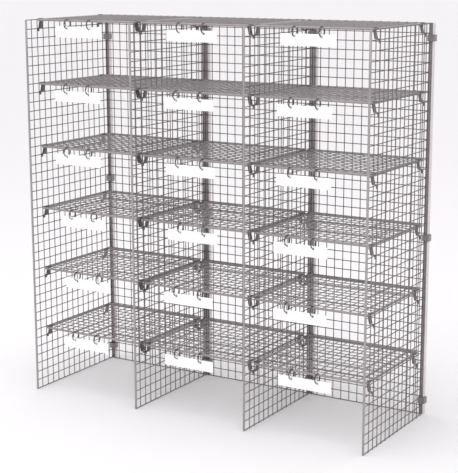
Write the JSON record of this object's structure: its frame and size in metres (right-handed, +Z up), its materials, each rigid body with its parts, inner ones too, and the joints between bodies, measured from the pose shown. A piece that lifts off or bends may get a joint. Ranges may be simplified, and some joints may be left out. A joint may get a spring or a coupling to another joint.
{
  "type": "welded wire mesh pigeonhole rack",
  "caption": "free-standing rack of welded wire mesh with rows of open compartments, hooked-on mesh shelves and a blank swinging label plate on the front of each",
  "frame": {"origin": "middle of the footprint, on the floor", "axes": "+X to the right across the open front as seen by a person facing it, -Y out of the open front, +Z up"},
  "size_m": [1.0706, 0.3887, 1.0725],
  "materials": {
    "mesh_wire": "zinc-plated welded wire, satin",
    "shelf_wire": "zinc-plated welded wire, satin",
    "post_sheet": "zinc-plated sheet, satin",
    "hook_sheet": "dark zinc-plated sheet, satin",
    "clip_sheet": "zinc-plated spring steel, satin",
    "label_plate": "white, matt",
    "split_ring": "nickel-plated spring steel, semi-bright"
  },
  "bodies": {
    "rack": {"side_panel_left": "mesh_wire", "divider_panel_left": "mesh_wire", "divider_panel_right": "mesh_wire", "side_panel_right": "mesh_wire", "back_panel_left": "mesh_wire", "back_panel_middle": "mesh_wire", "back_panel_right": "mesh_wire", "corner_post_left": "post_sheet", "divider_post_left": "post_sheet", "divider_post_right": "post_sheet", "corner_post_right": "post_sheet", "shelves_tier_1": "shelf_wire", "shelves_tier_2": "shelf_wire", "shelves_tier_3": "shelf_wire", "shelves_tier_4": "shelf_wire", "shelves_tier_5": "shelf_wire", "shelves_tier_6": "shelf_wire", "front_shelf_hooks": "hook_sheet", "rear_shelf_hooks": "hook_sheet", "post_clips": "clip_sheet"},
    "label_left_1": {"label_plate_left_1": "label_plate", "label_rings_left_1": "split_ring"},
    "label_left_2": {"label_plate_left_2": "label_plate", "label_rings_left_2": "split_ring"},
    "label_left_3": {"label_plate_left_3": "label_plate", "label_rings_left_3": "split_ring"},
    "label_left_4": {"label_plate_left_4": "label_plate", "label_rings_left_4": "split_ring"},
    "label_left_5": {"label_plate_left_5": "label_plate", "label_rings_left_5": "split_ring"},
    "label_left_6": {"label_plate_left_6": "label_plate", "label_rings_left_6": "split_ring"},
    "label_middle_1": {"label_plate_middle_1": "label_plate", "label_rings_middle_1": "split_ring"},
    "label_middle_2": {"label_plate_middle_2": "label_plate", "label_rings_middle_2": "split_ring"},
    "label_middle_3": {"label_plate_middle_3": "label_plate", "label_rings_middle_3": "split_ring"},
    "label_middle_4": {"label_plate_middle_4": "label_plate", "label_rings_middle_4": "split_ring"},
    "label_middle_5": {"label_plate_middle_5": "label_plate", "label_rings_middle_5": "split_ring"},
    "label_middle_6": {"label_plate_middle_6": "label_plate", "label_rings_middle_6": "split_ring"},
    "label_right_1": {"label_plate_right_1": "label_plate", "label_rings_right_1": "split_ring"},
    "label_right_2": {"label_plate_right_2": "label_plate", "label_rings_right_2": "split_ring"},
    "label_right_3": {"label_plate_right_3": "label_plate", "label_rings_right_3": "split_ring"},
    "label_right_4": {"label_plate_right_4": "label_plate", "label_rings_right_4": "split_ring"},
    "label_right_5": {"label_plate_right_5": "label_plate", "label_rings_right_5": "split_ring"},
    "label_right_6": {"label_plate_right_6": "label_plate", "label_rings_right_6": "split_ring"}
  },
  "joints": [
    {"name": "label_swing_left_1", "type": "hinge", "parent": "rack", "child": "label_left_1", "pos_m": [-0.37259, -0.15535, 0.17905], "axis": [-1, 0, 0], "range_deg": [-84, 250]},
    {"name": "label_swing_left_2", "type": "hinge", "parent": "rack", "child": "label_left_2", "pos_m": [-0.36014, -0.15535, 0.35685], "axis": [-1, 0, 0], "range_deg": [-84, 250]},
    {"name": "label_swing_left_3", "type": "hinge", "parent": "rack", "child": "label_left_3", "pos_m": [-0.37259, -0.15535, 0.53465], "axis": [-1, 0, 0], "range_deg": [-84, 250]},
    {"name": "label_swing_left_4", "type": "hinge", "parent": "rack", "child": "label_left_4", "pos_m": [-0.38478, -0.15535, 0.71245], "axis": [-1, 0, 0], "range_deg": [-84, 250]},
    {"name": "label_swing_left_5", "type": "hinge", "parent": "rack", "child": "label_left_5", "pos_m": [-0.38072, -0.15535, 0.89025], "axis": [-1, 0, 0], "range_deg": [-84, 250]},
    {"name": "label_swing_left_6", "type": "hinge", "parent": "rack", "child": "label_left_6", "pos_m": [-0.37259, -0.15535, 1.06805], "axis": [-1, 0, 0], "range_deg": [-84, 250]},
    {"name": "label_swing_middle_1", "type": "hinge", "parent": "rack", "child": "label_middle_1", "pos_m": [-0.02134, -0.15535, 0.17905], "axis": [-1, 0, 0], "range_deg": [-84, 250]},
    {"name": "label_swing_middle_2", "type": "hinge", "parent": "rack", "child": "label_middle_2", "pos_m": [-0.02159, -0.15535, 0.35685], "axis": [-1, 0, 0], "range_deg": [-84, 250]},
    {"name": "label_swing_middle_3", "type": "hinge", "parent": "rack", "child": "label_middle_3", "pos_m": [-0.00635, -0.15535, 0.53465], "axis": [-1, 0, 0], "range_deg": [-84, 250]},
    {"name": "label_swing_middle_4", "type": "hinge", "parent": "rack", "child": "label_middle_4", "pos_m": [-0.01118, -0.15535, 0.71245], "axis": [-1, 0, 0], "range_deg": [-84, 250]},
    {"name": "label_swing_middle_5", "type": "hinge", "parent": "rack", "child": "label_middle_5", "pos_m": [-0.01549, -0.15535, 0.89025], "axis": [-1, 0, 0], "range_deg": [-84, 250]},
    {"name": "label_swing_middle_6", "type": "hinge", "parent": "rack", "child": "label_middle_6", "pos_m": [-0.00406, -0.15535, 1.06805], "axis": [-1, 0, 0], "range_deg": [-84, 250]},
    {"name": "label_swing_right_1", "type": "hinge", "parent": "rack", "child": "label_right_1", "pos_m": [0.33703, -0.15535, 0.17905], "axis": [-1, 0, 0], "range_deg": [-84, 250]},
    {"name": "label_swing_right_2", "type": "hinge", "parent": "rack", "child": "label_right_2", "pos_m": [0.32154, -0.15535, 0.35685], "axis": [-1, 0, 0], "range_deg": [-84, 250]},
    {"name": "label_swing_right_3", "type": "hinge", "parent": "rack", "child": "label_right_3", "pos_m": [0.32154, -0.15535, 0.53465], "axis": [-1, 0, 0], "range_deg": [-84, 250]},
    {"name": "label_swing_right_4", "type": "hinge", "parent": "rack", "child": "label_right_4", "pos_m": [0.32941, -0.15535, 0.71245], "axis": [-1, 0, 0], "range_deg": [-84, 250]},
    {"name": "label_swing_right_5", "type": "hinge", "parent": "rack", "child": "label_right_5", "pos_m": [0.33017, -0.15535, 0.89025], "axis": [-1, 0, 0], "range_deg": [-84, 250]},
    {"name": "label_swing_right_6", "type": "hinge", "parent": "rack", "child": "label_right_6", "pos_m": [0.33932, -0.15535, 1.06805], "axis": [-1, 0, 0], "range_deg": [-84, 250]}
  ]
}
